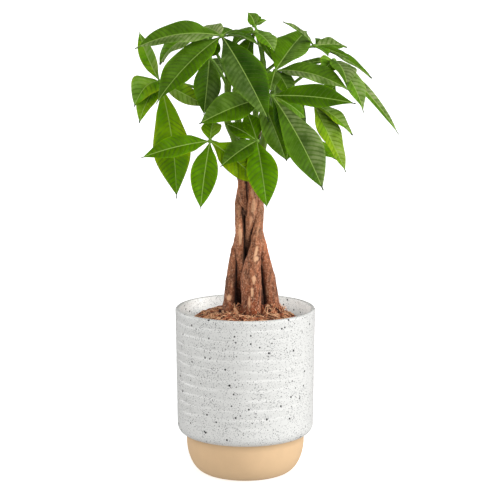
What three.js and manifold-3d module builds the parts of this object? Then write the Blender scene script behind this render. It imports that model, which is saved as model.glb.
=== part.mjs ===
// A potted money tree: five young trunks plaited together, their green shoots and palmate leaves,
// planted in a grow pot that stands inside a ribbed ceramic planter. Millimetres, +Z up, with the
// origin at the centre of the planter's flat foot. The front of the plant faces -Y.
import * as THREE from "three";
import { mergeVertices } from "three/addons/utils/BufferGeometryUtils.js";
import Module from "manifold-3d";

// Driving dimensions of the planter.
const PLANTER_HEIGHT = 150;
const PLANTER_RADIUS = 62.5;
const WALL = 4.5;
const LIP_ROUNDING = 2;
const BODY_BOTTOM = 36;
const BODY_BOTTOM_RADIUS = 60.9;
const BODY_CORNER = 8.5;
const FOOT_RADIUS = 35;
const FOOT_CORNER_HEIGHT = 30;
const FOOT_SIDE_RADIUS = 52.8;
const FOOT_TOP_RADIUS = 53;
const FLOOR_THICKNESS = 8;
const INNER_CORNER = 11;
const INNER_SHOULDER_RADIUS = 55.9;
const INNER_SHOULDER_HEIGHT = 48;
const RIB_COUNT = 11;
const RIB_DEPTH = 0.45;
const RIB_VALLEY = 0.75;
const RIB_TOP = 141;
const PLANTER_SIDES = 28;

// Driving dimensions of what stands inside the planter.
const GAP = 0.3;
const POT_RIM_RADIUS = 50;
const POT_RIM_HEIGHT = 136;
const POT_RIM_DEPTH = 7;
const POT_TOP_RADIUS = 48.2;
const POT_FOOT_RADIUS = 37;
const POT_WALL = 1.4;
const SOIL_TOP = 131;
const COIR_RADIUS = 45;
const COIR_SHOULDER = 137;
const COIR_CENTRE_TOP = 147;
const POT_SIDES = 24;

// Driving dimensions of the plant.
const TRUNK_SIDES = 12;
const TRUNK_STEPS = 16;
const SHOOT_SIDES = 8;
const SHOOT_STEPS = 7;
const STALK_SIDES = 5;
const STALK_STEPS = 5;
const STALK_STATIONS = 5;
const STALK_BASE_RADIUS = 1.6;
const STALK_TIP_RADIUS = 1.1;
const STALK_RISE = 0.16;
const LAST_NODE = 0.985;
const HUB_RADIUS = 2.6;
const BLADE_THICKNESS = 0.7;
const BLADE_FOLD = 0.2;
const BLADE_STATIONS = [0.02, 0.1, 0.26, 0.45, 0.65, 0.84, 1];
const BODY_END = 0.97;
const BODY_SKEW = 1.04;
const WEDGE_END = 0.25;
const WEDGE_WIDTH = 0.6;
const DRIP_WIDTH = 0.08;
const BLADE_BASE_WIDTH = 1.8;
const BLADE_TIP_WIDTH = 0.9;

// Colours of the pieces.
const BARK = new THREE.MeshStandardMaterial({ color: 0x8a5a41, roughness: 0.85 });
const GREEN_BARK = new THREE.MeshStandardMaterial({ color: 0x5f7a2c, roughness: 0.6 });
const LEAF = new THREE.MeshStandardMaterial({ color: 0x3f7d16, roughness: 0.45 });
const GLAZE = new THREE.MeshStandardMaterial({ color: 0xe6e5e1, roughness: 0.45 });
const POT_PLASTIC = new THREE.MeshStandardMaterial({ color: 0x26282a, roughness: 0.6 });
const SOIL = new THREE.MeshStandardMaterial({ color: 0x3b2a20, roughness: 0.95 });
const COIR = new THREE.MeshStandardMaterial({ color: 0xa2673d, roughness: 0.95 });

// Trunks: each is [name, [x, y, z, radius], ...] from the root up, as they cross in the plait.
const TRUNKS = [
  ["trunk_front",
    [6, -4, 104, 7], [5.5, -9, 145, 8.8], [5.4, -10, 165, 9], [5, -10.5, 178, 9.1],
    [6.2, -10.5, 189, 7.6], [7.8, -10, 199, 6], [9.5, -9.5, 207, 5.4], [10.1, -9, 215, 5],
    [11.4, -6, 225, 4.4], [12.2, -2, 240, 4.2], [11.8, 0, 262, 4.1], [12.5, 1, 284, 4]],
  ["trunk_inner_left",
    [-5, 12, 104, 6], [-6, 12.5, 145, 6], [-5.2, 9.5, 163, 5.6], [-3.6, 4, 176, 5.2],
    [-2.5, -1, 187, 4.6], [-4.2, -4.2, 198, 3.9], [-4.9, -6, 207, 4], [-4.9, -6.5, 215, 4],
    [-5.3, -6, 225, 3.7], [-5.6, -4.5, 233, 3.6], [-5.8, -2, 240, 3.5], [-4.8, 2.8, 250, 3.3],
    [-2.8, 5.5, 263, 3.2]],
  ["trunk_left",
    [-16, 2, 104, 6], [-14.7, 0, 145, 6.1], [-13.6, 0, 161, 5.4], [-12.6, 0.5, 175, 4.6],
    [-11.2, 1, 185, 4.5], [-8.6, 2, 199, 4.6], [-6.2, 3, 207, 4.7], [-3, 5, 220, 4.8], [4, 9.5, 244, 4.6],
    [7, 10, 266, 4.4], [8, 9, 290, 4.2], [9, 9, 302, 4]],
  ["trunk_right",
    [25, 2, 104, 6.4], [24, 1, 145, 7.3], [22, 1, 165, 6.7], [20.2, 1, 176, 6.5], [17.2, 1.3, 188, 6.3],
    [14.5, 1.5, 199, 6.1], [12.6, 2.6, 208, 5.7], [9.8, 4, 220, 5], [2, 0.4, 239, 4.3],
    [-1.8, -4.5, 249, 4], [-2.6, -6, 261, 3.9], [-1.5, -4, 273, 3.8]],
  ["trunk_centre",
    [9, 15, 104, 6], [10.5, 14.5, 145, 7.4], [8.5, 13, 165, 6.6], [5, 9.5, 185, 5.6], [2.6, 2, 206, 4.5],
    [2.6, -2, 216, 4.1], [3.6, -4, 224, 4.1], [4.9, -5.5, 232, 4.2], [6.3, -6.5, 243, 4.3],
    [5.9, -7, 262, 4.2], [4.5, -6, 288, 4.1]],
];

// Green shoots, one on each trunk: [name, [x, y, z, radius], ...].
const SHOOTS = [
  ["shoot_right",
    [12.4, 1, 282, 3.8], [16, 3, 298, 3.5], [20, 8, 322, 3.2], [17, 13, 346, 2.8],
    [15.5, 20, 368, 2.3], [13, 29, 387, 1.8]],
  ["shoot_left",
    [-2.8, 5.5, 261, 3.3], [-6.8, 3.4, 276, 3.4], [-8.5, -1, 298, 3.4], [-16, -2, 319, 3.1],
    [-15.5, -3, 342, 2.8], [-14.5, -4, 368, 2.2]],
  ["shoot_back_right",
    [9, 9, 300, 3.8], [13, 17, 314, 3.4], [19, 27, 328, 2.9], [25, 36, 338, 2.4]],
  ["shoot_back_left",
    [-1.5, -4, 271, 3.6], [0.5, 2, 284, 3.5], [-4, 12, 304, 3.4], [-8, 22, 324, 3], [-9, 30, 342, 2.4]],
  ["shoot_front",
    [4.5, -6, 286, 3.8], [6, -9, 296, 3.5], [8, -13, 312, 3], [9, -17, 328, 2.4]],
];

// Leaves: [name, shoot, place along the shoot, hub [x, y, z], the way the leaf faces [x, y, z],
// leaflets [[x, y, z of the tip from the hub, width, arch, roll in degrees, skew if not the usual], ...]].
const LEAVES = [
  ["leaf_top_left", 1, 1, [-20, -35, 394], [-0.1, -0.5, 0.86], [
    [-74, -10, -10, 26, 8, -8, 0.95], [-55, -52, -53, 31, 6, 0], [40, -50, -68, 32, 5, 0],
    [33, -8, -8, 15, 5, -25], [14, 34, 0, 18, 3, 0], [-17, 38, 5, 18, 2, 0]]],
  ["leaf_upper_left", 1, 0.9, [-34, 7, 389], [-0.35, -0.4, 0.85], [
    [-41, -4, -23, 34, 10, 0], [-40, 36, -24, 26, 7, 0], [0, 52, -14, 24, 6, 0],
    [-14, -16, -30, 18, 2, 0]]],
  ["leaf_inner_left", 1, 0.84, [-31, -16, 374], [0.15, -0.85, 0.5], [
    [-5, -12, -49, 23, 3, 0], [8, 4, 14, 11, 2, 0]]],
  ["leaf_left", 1, 0.72, [-74, -15, 353], [-0.4, -0.85, 0.35], [
    [-18.3, 12, 43, 13, 6, 20], [-21.5, -22, -19.5, 27, 9, 0, 0.96], [-17, -30, -32.5, 19, 4, 0],
    [14, -8, -101.5, 34, -8, 0, 1.35], [41, 9, -22.5, 15, 3, 0]]],
  ["leaf_low_left", 1, 0.2, [-30, -55, 306], [-0.1, -0.8, 0.6], [
    [-58.5, -15, -12.5, 19, 4, -8], [-8, -24, -55.5, 22.5, 4, 0, 1.1], [2.5, 24, 14, 17, 3, 0],
    [43, 6, -38, 26, 5, 0]]],
  ["leaf_crown", 0, 0.78, [9, 12, 394], [0, -0.2, 1], [
    [16.5, -27, -15.5, 18, 3, 0], [17, -8, -27, 6, 1, 60], [15.5, 16, -6.5, 12, 2, 0],
    [-20, -8, -12, 22, 3, 0], [-8, 2, -40, 23, 5, 0], [-25.5, 30, -6, 16, 3, 0]]],
  ["leaf_young", 0, 1, [8, 36, 398], [0, -0.7, 0.7], [
    [-6, -3, 12, 12, 3, 0], [11, 0, 5, 6, 1, 0], [4, 14, 8, 8, 2, 0]]],
  ["leaf_upper_right", 0, 0.7, [61.7, 30, 380.4], [0.3, -0.2, 0.9], [
    [-28.5, -12, 22.5, 9, 2, -15], [29.5, 16, -2.5, 19, 2, 6], [29.5, -20, -9, 14, 1, 8],
    [50.5, -8, -28, 15, 3.5, 8, 1.25], [18, 46, -10, 20, 5, 0], [11, -28, -6, 13, 1, 0]]],
  ["leaf_centre_right", 0, 0.56, [26, -20, 363], [0.1, -0.5, 0.86], [
    [30, 87, 28.5, 30, 4, 0, 0.88], [65, -25, -16, 26, 7, 0, 0.98], [-5, -20, -16, 13, 3, 0],
    [13, -12, -22, 18, 3, 0]]],
  ["leaf_right", 0, 0.44, [77, -8, 371], [0.4, -0.5, 0.8], [
    [-35, 10, -6, 10, 1, 0], [-11, -22, -9, 18, 3, 0], [10, -36, -18, 24, 4, 0],
    [25.5, -20, -43.5, 22, 5, 0], [57, -8, -64, 9, 4, 20], [28, 20, -24, 16, 1, 0]]],
  ["leaf_front_right", 0, 0.36, [23, -58, 345], [0.1, -0.75, 0.65], [
    [70, -15, -5, 23.5, 4, 0], [42.5, -34, -76, 31, 7, 0, 1.42], [17, -12, -48, 13, 3, 30],
    [29, 14, -21, 18, 3, 0]]],
  ["leaf_centre", 4, 1, [14, -40, 341], [-0.1, -0.7, 0.7], [
    [-53, -34, -18, 28, 3, -10], [21.5, 4, -55, 23, 3, 0], [-18, 12, 14, 16, 3, 0]]],
  ["leaf_low_front", 4, 0.3, [10, -45, 305], [0, -0.75, 0.65], [
    [8.5, -25, -55, 26, 5, 0], [-31, -32, -18, 20, 3, 0], [-27, 14, 13, 15, 3, 0],
    [-8.5, 20, 22.5, 16, 2, 0]]],
  ["leaf_low_right", 2, 0.8, [60, -14, 333], [0.5, -0.5, 0.7], [
    [27, -26, -55.5, 26, 0, 0, 0.8], [33.6, -4, -26.5, 17, 3.5, 0], [20, 26, 14, 16, 2, 0]]],
  ["leaf_inner_right", 2, 0.35, [40, 25, 312], [0.2, -0.2, 0.9], [
    [44.5, -6, -33, 29, -3, 0, 1.2], [-3.5, -8, -33, 18, 3, 0], [24, 46, -36, 24, 4, 0],
    [-3.5, 46, -30, 24, 6, 0]]],
  ["leaf_back_right", 2, 1, [30, 74, 350], [0.2, 0.5, 0.85], [
    [26, 24, -62, 22, 0, 0], [24, 56, -50, 21, 0, 0], [-20, 56, -28, 27, 10, 0], [6, 30, -60, 24, 6, 0]]],
  ["leaf_back", 3, 1, [-14, 62, 362], [-0.2, 0.4, 0.9], [
    [-46, -4, -14, 26, 5, 0], [-54, 40, -24, 30, 9, 0], [-12, 66, -24, 30, 11, 0],
    [-30, 16, -38.5, 22, 4, 0]]],
];

const wasm = await Module();
wasm.setup();

// A closed geometry as a solid that can be joined and cut.
function solidOf(geometry) {
  const bare = geometry.clone();
  bare.deleteAttribute("normal");
  bare.deleteAttribute("uv");
  const merged = mergeVertices(bare, 1e-4);
  return new wasm.Manifold(
    new wasm.Mesh({
      numProp: 3,
      vertProperties: new Float32Array(merged.attributes.position.array),
      triVerts: new Uint32Array(merged.index.array),
    }),
  );
}

// A solid's surface as a geometry again.
function geometryOf(solid) {
  const mesh = solid.getMesh();
  const places = new Float32Array(mesh.numVert * 3);
  for (let i = 0; i < mesh.numVert; i++) {
    places.set(mesh.vertProperties.subarray(i * mesh.numProp, i * mesh.numProp + 3), i * 3);
  }
  const geometry = new THREE.BufferGeometry();
  geometry.setAttribute("position", new THREE.BufferAttribute(places, 3));
  geometry.setIndex(new THREE.BufferAttribute(new Uint32Array(mesh.triVerts), 1));
  geometry.computeVertexNormals();
  return geometry;
}

// The largest body of a solid: a cut can leave a crumb behind.
function mainBody(solid) {
  return solid.decompose().reduce((a, b) => (a.volume() > b.volume() ? a : b));
}

// A solid turned on the Z axis from a profile of [radius, height] pairs.
function turned(profile, sides) {
  const points = profile.map(([radius, height]) => new THREE.Vector2(radius, height));
  return new THREE.LatheGeometry(points, sides).rotateX(Math.PI / 2);
}

// Points on a quarter ellipse, from one end to the other, both included.
function corner(radius, height, acrossX, acrossZ, from, to, count) {
  return Array.from({ length: count }, (_, i) => {
    const turn = THREE.MathUtils.degToRad(from + ((to - from) * i) / (count - 1));
    return [radius + acrossX * Math.cos(turn), height + acrossZ * Math.sin(turn)];
  });
}

// A closed surface through rings of points, all with the same count, with a flat cap at each end.
function skin(rings) {
  const sides = rings[0].length;
  const places = rings.flat().flatMap((p) => [p.x, p.y, p.z]);
  const faces = [];
  for (let r = 0; r + 1 < rings.length; r++) {
    for (let s = 0; s < sides; s++) {
      const next = (s + 1) % sides;
      const [a, b] = [r * sides + s, r * sides + next];
      const [c, d] = [a + sides, b + sides];
      faces.push(a, b, d, a, d, c);
    }
  }
  const last = (rings.length - 1) * sides;
  for (let s = 1; s + 1 < sides; s++) {
    faces.push(0, s + 1, s, last, last + s, last + s + 1);
  }
  const geometry = new THREE.BufferGeometry();
  geometry.setAttribute("position", new THREE.Float32BufferAttribute(places, 3));
  geometry.setIndex(faces);
  return geometry;
}

// A round stem through [x, y, z, radius] stations, grown all over by a margin.
function stem(stations, sides, steps, margin = 0) {
  const line = new THREE.CatmullRomCurve3(stations.map(([x, y, z]) => new THREE.Vector3(x, y, z)));
  const across = new THREE.Vector3(1, 0, 0);
  const rings = Array.from({ length: steps + 1 }, (_, i) => {
    const t = i / steps;
    const centre = line.getPoint(t);
    const along = line.getTangent(t);
    const side = across.clone().addScaledVector(along, -across.dot(along)).normalize();
    const other = new THREE.Vector3().crossVectors(along, side);
    const place = t * (stations.length - 1);
    const k = Math.min(Math.floor(place), stations.length - 2);
    const radius = margin + THREE.MathUtils.lerp(stations[k][3], stations[k + 1][3], place - k);
    return Array.from({ length: sides }, (_, s) => {
      const turn = (2 * Math.PI * s) / sides;
      return centre
        .clone()
        .addScaledVector(side, radius * Math.cos(turn))
        .addScaledVector(other, radius * Math.sin(turn));
    });
  });
  return skin(rings);
}

// How wide a leaflet is at t, from 0 at the hub to 1 at the tip, as a share of its full width.
function outline(t, skew) {
  const body = t < BODY_END ? Math.sin(Math.PI * (t / BODY_END) ** skew) : 0;
  const wedge = Math.min(1, t / WEDGE_END);
  return body * THREE.MathUtils.lerp(WEDGE_WIDTH, 1, wedge) + DRIP_WIDTH * (1 - t) * wedge;
}

// One leaflet: an arched blade folded a little along its midrib.
function blade(hub, facing, [x, y, z, width, arch, roll, skew = BODY_SKEW]) {
  const chord = new THREE.Vector3(x, y, z);
  const heading = chord.clone().normalize();
  const up = facing.clone().addScaledVector(heading, -facing.dot(heading)).normalize();
  const side = new THREE.Vector3().crossVectors(heading, up);
  const bend = chord.clone().multiplyScalar(0.5).addScaledVector(up, 2 * arch);
  const rings = BLADE_STATIONS.map((t) => {
    const along = bend.clone().multiplyScalar(2 - 4 * t).addScaledVector(chord, 2 * t).normalize();
    const turn = THREE.MathUtils.degToRad(roll);
    const across = side.clone().applyAxisAngle(along, turn);
    const normal = new THREE.Vector3().crossVectors(across, along);
    const middle = hub.clone().addScaledVector(bend, 2 * t * (1 - t)).addScaledVector(chord, t * t);
    const narrowest = THREE.MathUtils.lerp(BLADE_BASE_WIDTH, BLADE_TIP_WIDTH, t);
    const half = Math.max(narrowest, width * outline(t, skew)) / 2;
    const place = (sideways, lift) =>
      middle.clone().addScaledVector(across, sideways).addScaledVector(normal, lift);
    const rise = BLADE_FOLD * half;
    return [
      place(-half, rise), place(0, 0), place(half, rise),
      place(half, rise - BLADE_THICKNESS), place(0, -BLADE_THICKNESS), place(-half, rise - BLADE_THICKNESS),
    ];
  });
  return skin(rings);
}

const tree = new THREE.Group();

function add(name, geometry, material) {
  const mesh = new THREE.Mesh(geometry, material);
  mesh.name = name;
  tree.add(mesh);
}

// The outside wall's radius at a height on the planter's upper body.
function bodyRadius(z) {
  const share = (z - BODY_BOTTOM) / (PLANTER_HEIGHT - BODY_BOTTOM);
  return THREE.MathUtils.lerp(BODY_BOTTOM_RADIUS, PLANTER_RADIUS, share);
}

function planter() {
  const ribBottom = BODY_BOTTOM + BODY_CORNER;
  const ribPitch = (RIB_TOP - ribBottom) / RIB_COUNT;
  const ribs = [];
  for (let i = 0; i < RIB_COUNT; i++) {
    const low = ribBottom + i * ribPitch;
    ribs.push([bodyRadius(low), low]);
    ribs.push([bodyRadius(low) - RIB_DEPTH, low + RIB_VALLEY * ribPitch]);
  }
  const inner = PLANTER_RADIUS - WALL;
  const innerFoot = FOOT_SIDE_RADIUS - WALL - INNER_CORNER;
  const lipCentre = PLANTER_HEIGHT - LIP_ROUNDING;
  const footCorner = FOOT_SIDE_RADIUS - FOOT_RADIUS;
  const profile = [
    [0, 0],
    ...corner(FOOT_RADIUS, FOOT_CORNER_HEIGHT, footCorner, FOOT_CORNER_HEIGHT, -90, 0, 6),
    [FOOT_TOP_RADIUS, BODY_BOTTOM],
    ...corner(bodyRadius(ribBottom) - BODY_CORNER, ribBottom, BODY_CORNER, BODY_CORNER, -85, -20, 4),
    ...ribs,
    [bodyRadius(RIB_TOP), RIB_TOP],
    ...corner(PLANTER_RADIUS - LIP_ROUNDING, lipCentre, LIP_ROUNDING, LIP_ROUNDING, 0, 90, 3),
    ...corner(inner + LIP_ROUNDING, lipCentre, LIP_ROUNDING, LIP_ROUNDING, 90, 180, 3),
    [INNER_SHOULDER_RADIUS, INNER_SHOULDER_HEIGHT],
    [FOOT_TOP_RADIUS - WALL, BODY_BOTTOM],
    ...corner(innerFoot, FLOOR_THICKNESS + INNER_CORNER, INNER_CORNER, INNER_CORNER, 0, -90, 4),
    [0, FLOOR_THICKNESS],
  ];
  add("planter", turned(profile, PLANTER_SIDES), GLAZE);
}

const POT_BOTTOM = FLOOR_THICKNESS + GAP;

function growPot() {
  const profile = [
    [0, POT_BOTTOM],
    [POT_FOOT_RADIUS, POT_BOTTOM],
    [POT_TOP_RADIUS, POT_RIM_HEIGHT - POT_RIM_DEPTH],
    [POT_RIM_RADIUS, POT_RIM_HEIGHT - POT_RIM_DEPTH],
    [POT_RIM_RADIUS, POT_RIM_HEIGHT],
    [POT_TOP_RADIUS - POT_WALL, POT_RIM_HEIGHT],
    [POT_TOP_RADIUS - POT_WALL, POT_RIM_HEIGHT - POT_RIM_DEPTH],
    [POT_FOOT_RADIUS - POT_WALL, POT_BOTTOM + POT_WALL],
    [0, POT_BOTTOM + POT_WALL],
  ];
  add("grow_pot", turned(profile, POT_SIDES), POT_PLASTIC);
}

// The potting soil fills the grow pot, with a plain hole for each trunk.
function soil(holes) {
  const low = POT_BOTTOM + POT_WALL + GAP;
  const wide = POT_TOP_RADIUS - POT_WALL - GAP;
  const shoulder = POT_RIM_HEIGHT - POT_RIM_DEPTH;
  const profile = [
    [0, low],
    [POT_FOOT_RADIUS - POT_WALL - GAP, low],
    [wide, shoulder],
    [wide, SOIL_TOP],
    [0, SOIL_TOP],
  ];
  const ball = solidOf(turned(profile, POT_SIDES));
  add("potting_soil", geometryOf(mainBody(holes.reduce((a, b) => a.subtract(b), ball))), SOIL);
}

// The coir mulch is a domed round mat on the soil.
function coir(holes) {
  const low = SOIL_TOP + GAP;
  const profile = [
    [0, low],
    [COIR_RADIUS - 1, low],
    ...corner(0, COIR_SHOULDER, COIR_RADIUS, COIR_CENTRE_TOP - COIR_SHOULDER, 0, 90, 5),
  ];
  const mat = solidOf(turned(profile, POT_SIDES));
  add("coir_mulch", geometryOf(mainBody(holes.reduce((a, b) => a.subtract(b), mat))), COIR);
}

// Each trunk is pressed against the ones laid before it.
function trunks() {
  const laid = [];
  for (const [name, ...stations] of TRUNKS) {
    const whole = solidOf(stem(stations, TRUNK_SIDES, TRUNK_STEPS));
    const pressed = mainBody(laid.reduce((a, b) => a.subtract(b), whole));
    add(name, geometryOf(pressed), BARK);
    laid.push(solidOf(stem(stations, TRUNK_SIDES, TRUNK_STEPS, GAP)));
  }
  return laid;
}

// Each shoot grows out of a trunk's top end, clear of the trunks beside it.
function shoots(trunkClearances) {
  return SHOOTS.map(([name, ...stations]) => {
    const whole = solidOf(stem(stations, SHOOT_SIDES, SHOOT_STEPS));
    const seated = mainBody(trunkClearances.reduce((a, b) => a.subtract(b), whole));
    add(name, geometryOf(seated), GREEN_BARK);
    return {
      line: new THREE.CatmullRomCurve3(stations.map(([x, y, z]) => new THREE.Vector3(x, y, z))),
      clearance: solidOf(stem(stations, SHOOT_SIDES, SHOOT_STEPS, GAP)),
    };
  });
}

// A leaf's stalk: it leaves the shoot steeply and bends out to the hub.
function stalk(root, hub) {
  const span = root.distanceTo(hub);
  const bend = root.clone().add(hub).multiplyScalar(0.5);
  bend.z += STALK_RISE * span;
  const arc = new THREE.QuadraticBezierCurve3(root, bend, hub);
  const stations = Array.from({ length: STALK_STATIONS }, (_, i) => {
    const share = i / (STALK_STATIONS - 1);
    const p = arc.getPoint(share);
    return [p.x, p.y, p.z, THREE.MathUtils.lerp(STALK_BASE_RADIUS, STALK_TIP_RADIUS, share)];
  });
  return stem(stations, STALK_SIDES, STALK_STEPS);
}

function leaf([name, shoot, along, [x, y, z], facing, leaflets], grown) {
  const hub = new THREE.Vector3(x, y, z);
  const face = new THREE.Vector3(...facing).normalize();
  const root = grown[shoot].line.getPoint(Math.min(along, LAST_NODE));
  const knot = new THREE.IcosahedronGeometry(HUB_RADIUS).translate(x, y, z);
  const whole = leaflets.reduce(
    (solid, leaflet) => solid.add(solidOf(blade(hub, face, leaflet))),
    solidOf(stalk(root, hub)).add(solidOf(knot)),
  );
  add(name, geometryOf(mainBody(whole.subtract(grown[shoot].clearance))), LEAF);
}

planter();
growPot();
const trunkClearances = trunks();
soil(trunkClearances);
coir(trunkClearances);
const grown = shoots(trunkClearances);
for (const row of LEAVES) {
  leaf(row, grown);
}

export default tree;
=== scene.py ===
"""A potted money tree: five plaited trunks with green shoots and palmate leaves, in coir mulch, potting
soil and a grow pot, inside a ribbed stoneware planter. Metres, Z up, and the front faces -Y. The tables are
in millimetres."""

import math
import random
from functools import partial

import bpy
import numpy as np
from bpy.props import FloatProperty, FloatVectorProperty, IntProperty, PointerProperty
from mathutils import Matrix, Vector, noise


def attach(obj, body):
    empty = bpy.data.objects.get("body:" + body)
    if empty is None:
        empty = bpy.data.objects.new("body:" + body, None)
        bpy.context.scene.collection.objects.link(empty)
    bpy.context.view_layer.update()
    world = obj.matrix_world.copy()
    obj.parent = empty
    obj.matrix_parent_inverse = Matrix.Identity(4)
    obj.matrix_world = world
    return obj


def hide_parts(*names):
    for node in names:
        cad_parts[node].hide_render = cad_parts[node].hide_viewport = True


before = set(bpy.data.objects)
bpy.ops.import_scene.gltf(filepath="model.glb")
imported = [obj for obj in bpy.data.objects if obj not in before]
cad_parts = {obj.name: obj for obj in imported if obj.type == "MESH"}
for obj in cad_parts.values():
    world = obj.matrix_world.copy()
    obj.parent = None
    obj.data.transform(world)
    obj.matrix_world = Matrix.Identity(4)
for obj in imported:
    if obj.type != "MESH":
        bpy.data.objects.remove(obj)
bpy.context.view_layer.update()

bl_info = {
    "name": "Potted Money Tree",
    "version": (1, 0, 0),
    "blender": (4, 5, 0),
    "location": "3D View > Sidebar > Money Tree",
    "description": "Builds a plaited money tree in a ribbed stoneware planter",
    "category": "Object",
}

MM = 0.001
BODY = "root"

# Trunks: name: ((x, y, z, radius), ...) from the root up, as they cross in the plait.
TRUNKS = {
    "trunk_front": (
        (6, -4, 104, 7), (5.5, -9, 145, 8.8), (5.4, -10, 165, 9), (5, -10.5, 178, 9.1),
        (6.2, -10.5, 189, 7.6), (7.8, -10, 199, 6), (9.5, -9.5, 207, 5.4), (10.1, -9, 215, 5),
        (11.4, -6, 225, 4.4), (12.2, -2, 240, 4.2), (11.8, 0, 262, 4.1), (12.5, 1, 284, 4)),
    "trunk_inner_left": (
        (-5, 12, 104, 6), (-6, 12.5, 145, 6), (-5.2, 9.5, 163, 5.6), (-3.6, 4, 176, 5.2),
        (-2.5, -1, 187, 4.6), (-4.2, -4.2, 198, 3.9), (-4.9, -6, 207, 4), (-4.9, -6.5, 215, 4),
        (-5.3, -6, 225, 3.7), (-5.6, -4.5, 233, 3.6), (-5.8, -2, 240, 3.5), (-4.8, 2.8, 250, 3.3),
        (-2.8, 5.5, 263, 3.2)),
    "trunk_left": (
        (-16, 2, 104, 6), (-14.7, 0, 145, 6.1), (-13.6, 0, 161, 5.4), (-12.6, 0.5, 175, 4.6),
        (-11.2, 1, 185, 4.5), (-8.6, 2, 199, 4.6), (-6.2, 3, 207, 4.7), (-3, 5, 220, 4.8),
        (4, 9.5, 244, 4.6), (7, 10, 266, 4.4), (8, 9, 290, 4.2), (9, 9, 302, 4)),
    "trunk_right": (
        (25, 2, 104, 6.4), (24, 1, 145, 7.3), (22, 1, 165, 6.7), (20.2, 1, 176, 6.5), (17.2, 1.3, 188, 6.3),
        (14.5, 1.5, 199, 6.1), (12.6, 2.6, 208, 5.7), (9.8, 4, 220, 5), (2, 0.4, 239, 4.3),
        (-1.8, -4.5, 249, 4), (-2.6, -6, 261, 3.9), (-1.5, -4, 273, 3.8)),
    "trunk_centre": (
        (9, 15, 104, 6), (10.5, 14.5, 145, 7.4), (8.5, 13, 165, 6.6), (5, 9.5, 185, 5.6),
        (2.6, 2, 206, 4.5), (2.6, -2, 216, 4.1), (3.6, -4, 224, 4.1), (4.9, -5.5, 232, 4.2),
        (6.3, -6.5, 243, 4.3), (5.9, -7, 262, 4.2), (4.5, -6, 288, 4.1)),
}

# Pale scars where the bark was scraped: trunk, height, turn from the front in degrees, half height, half
# width, and how bare the wood is.
SCARS = (
    ("trunk_front", 203.5, 8, 4.8, 1.4, 0.95), ("trunk_front", 197, 20, 2.4, 2.2, 0.95),
    ("trunk_front", 179, 16, 4.0, 1.6, 0.9), ("trunk_front", 167, 4, 4.4, 1.2, 0.95),
    ("trunk_front", 158, -13, 5.0, 1.2, 0.95),
    ("trunk_left", 160, -6, 2.6, 2.2, 0.95), ("trunk_left", 172, 16, 4.0, 0.8, 0.4),
    ("trunk_inner_left", 217, 8, 8.2, 1.6, 0.85), ("trunk_inner_left", 238, 2, 5.0, 1.2, 0.3),
    ("trunk_centre", 243, 14, 7.0, 1.9, 0.55), ("trunk_centre", 230, 4, 5.0, 1.3, 0.45),
    ("trunk_centre", 255, 0, 4.0, 1.6, 0.4), ("trunk_front", 222, 2, 6.0, 1.0, 0.3),
    ("trunk_right", 190, -18, 4.0, 0.8, 0.5), ("trunk_right", 166, -24, 5.0, 0.9, 0.35),
)

# Where tufts of coir stand up beside the trunks: x, y.
TUFTS = ((16, -10), (20, -9), (24, -9), (29, -6), (9, -16), (-1, -13), (-8, -10), (20, -9), (27, -6), (33, 4))

# Green shoots, one on each trunk: name: ((x, y, z, radius), ...).
SHOOTS = {
    "shoot_right": (
        (12.4, 1, 282, 3.8), (16, 3, 298, 3.5), (20, 8, 322, 3.2), (17, 13, 346, 2.8),
        (15.5, 20, 368, 2.3), (13, 29, 387, 1.8)),
    "shoot_left": (
        (-2.8, 5.5, 261, 3.3), (-6.8, 3.4, 276, 3.4), (-8.5, -1, 298, 3.4), (-16, -2, 319, 3.1),
        (-15.5, -3, 342, 2.8), (-14.5, -4, 368, 2.2)),
    "shoot_back_right": ((9, 9, 300, 3.8), (13, 17, 314, 3.4), (19, 27, 328, 2.9), (25, 36, 338, 2.4)),
    "shoot_back_left": (
        (-1.5, -4, 271, 3.6), (0.5, 2, 284, 3.5), (-4, 12, 304, 3.4), (-8, 22, 324, 3), (-9, 30, 342, 2.4)),
    "shoot_front": ((4.5, -6, 286, 3.8), (6, -9, 296, 3.5), (8, -13, 312, 3), (9, -17, 328, 2.4)),
}

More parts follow.
